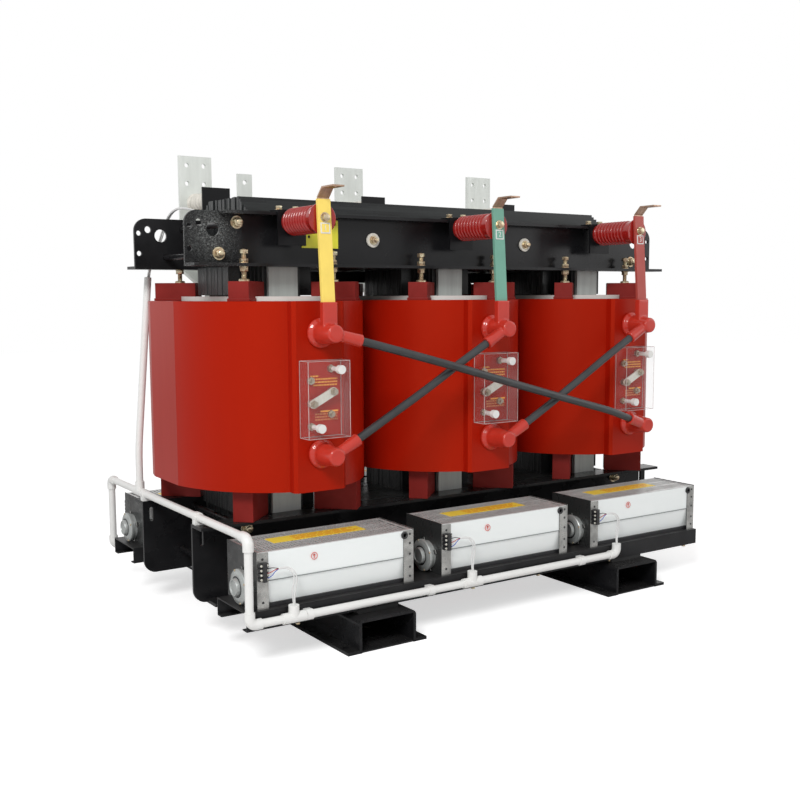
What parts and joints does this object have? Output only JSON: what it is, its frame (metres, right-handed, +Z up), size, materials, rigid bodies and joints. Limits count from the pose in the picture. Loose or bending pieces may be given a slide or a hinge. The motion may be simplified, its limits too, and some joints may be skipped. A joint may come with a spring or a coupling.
{
  "type": "dry type transformer",
  "caption": "Cast resin distribution transformer: core and coils between clamps on cross feet, with tap panels, jumper cables and fan sets along both sides.",
  "frame": {"origin": "centre of the footprint on the floor", "axes": "+X along the three phases, -Y to the high voltage side, +Z up"},
  "size_m": [1.624, 1.022, 1.29],
  "materials": {
    "core_lacquer": "thick black lacquer over laminations",
    "tie_steel": "plain rolled",
    "frame_black": "semi-gloss black paint",
    "bracket_black": "semi-gloss black paint",
    "tray_black": "satin black paint",
    "zinc_yellow": "yellow passivated zinc",
    "washer_white": "moulded",
    "coil_red": "satin cast resin",
    "lv_winding": "resin-bonded foil winding",
    "barrier_white": "laminated insulating sheet",
    "block_red": "cast resin",
    "copper": "bare bar",
    "sleeve_yellow": "shrunk sleeve",
    "sleeve_green": "shrunk sleeve",
    "sleeve_red": "shrunk sleeve",
    "boot_red": "moulded silicone",
    "cable_black": "jacketed cable",
    "insulator_red": "glossy epoxy",
    "acrylic_clear": "clear acrylic",
    "stud_brass": "turned",
    "link_steel": "tinned bar",
    "knob_white": "nylon",
    "bar_tinned": "tinned bar",
    "pad_rubber": "moulded",
    "fan_silver": "anodised sheet",
    "fan_zinc": "galvanised",
    "grille_zinc": "galvanised",
    "motor_silver": "die cast",
    "wheel_aluminium": "pressed blades",
    "terminal_black": "moulded",
    "conduit_white": "rigid PVC",
    "lead_white": "jacketed cable",
    "plate_white": "engraved plate",
    "marking_yellow": "paint"
  },
  "bodies": {
    "transformer": {"barrier_tubes": "barrier_white", "clamp_bolts": "zinc_yellow", "conduit_fittings": "conduit_white", "conduit_pipes": "conduit_white", "core_limbs": "core_lacquer", "fan_end_plates": "fan_zinc", "fan_grilles": "grille_zinc", "fan_housings": "fan_silver", "fan_leads": "lead_white", "fan_motors": "motor_silver", "fan_tray_back": "tray_black", "fan_tray_front": "tray_black", "foot_left": "frame_black", "foot_pads": "pad_rubber", "foot_right": "frame_black", "hv_bars": "copper", "hv_coil_a": "coil_red", "hv_coil_b": "coil_red", "hv_coil_c": "coil_red", "insulating_washers": "washer_white", "insulator_brackets": "bracket_black", "jumper_cable_ac": "cable_black", "jumper_cable_ba": "cable_black", "jumper_cable_cb": "cable_black", "lower_clamp_back": "frame_black", "lower_clamp_front": "frame_black", "lower_yoke": "core_lacquer", "lv_bars": "bar_tinned", "lv_brackets": "bracket_black", "lv_coils": "lv_winding", "lv_insulators": "insulator_red", "marking_plate": "marking_yellow", "neutral_bar": "bar_tinned", "phase_plates": "plate_white", "post_insulators": "insulator_red", "pressing_bolts": "zinc_yellow", "sensor_cables": "lead_white", "sleeve_green": "sleeve_green", "sleeve_red": "sleeve_red", "sleeve_yellow": "sleeve_yellow", "support_blocks_bottom": "block_red", "support_blocks_top": "block_red", "tap_covers": "acrylic_clear", "tap_knobs": "knob_white", "tap_links": "link_steel", "tap_studs": "stud_brass", "terminal_blocks": "terminal_black", "terminal_boots": "boot_red", "tie_plates": "tie_steel", "upper_clamp_back": "frame_black", "upper_clamp_front": "frame_black", "upper_yoke": "core_lacquer"},
    "fan_wheel_front_1": {"impeller_front_1": "wheel_aluminium"},
    "fan_wheel_front_2": {"impeller_front_2": "wheel_aluminium"},
    "fan_wheel_front_3": {"impeller_front_3": "wheel_aluminium"},
    "fan_wheel_back_1": {"impeller_back_1": "wheel_aluminium"},
    "fan_wheel_back_2": {"impeller_back_2": "wheel_aluminium"},
    "fan_wheel_back_3": {"impeller_back_3": "wheel_aluminium"}
  },
  "joints": [
    {"name": "fan_wheel_front_1_spin", "type": "hinge", "parent": "transformer", "child": "fan_wheel_front_1", "pos_m": [-0.546, -0.392, 0.184], "axis": [1, 0, 0], "continuous": true},
    {"name": "fan_wheel_front_2_spin", "type": "hinge", "parent": "transformer", "child": "fan_wheel_front_2", "pos_m": [-0.014, -0.392, 0.184], "axis": [1, 0, 0], "continuous": true},
    {"name": "fan_wheel_front_3_spin", "type": "hinge", "parent": "transformer", "child": "fan_wheel_front_3", "pos_m": [0.519, -0.392, 0.184], "axis": [1, 0, 0], "continuous": true},
    {"name": "fan_wheel_back_1_spin", "type": "hinge", "parent": "transformer", "child": "fan_wheel_back_1", "pos_m": [-0.546, 0.392, 0.184], "axis": [1, 0, 0], "continuous": true},
    {"name": "fan_wheel_back_2_spin", "type": "hinge", "parent": "transformer", "child": "fan_wheel_back_2", "pos_m": [-0.014, 0.392, 0.184], "axis": [1, 0, 0], "continuous": true},
    {"name": "fan_wheel_back_3_spin", "type": "hinge", "parent": "transformer", "child": "fan_wheel_back_3", "pos_m": [0.519, 0.392, 0.184], "axis": [1, 0, 0], "continuous": true}
  ]
}
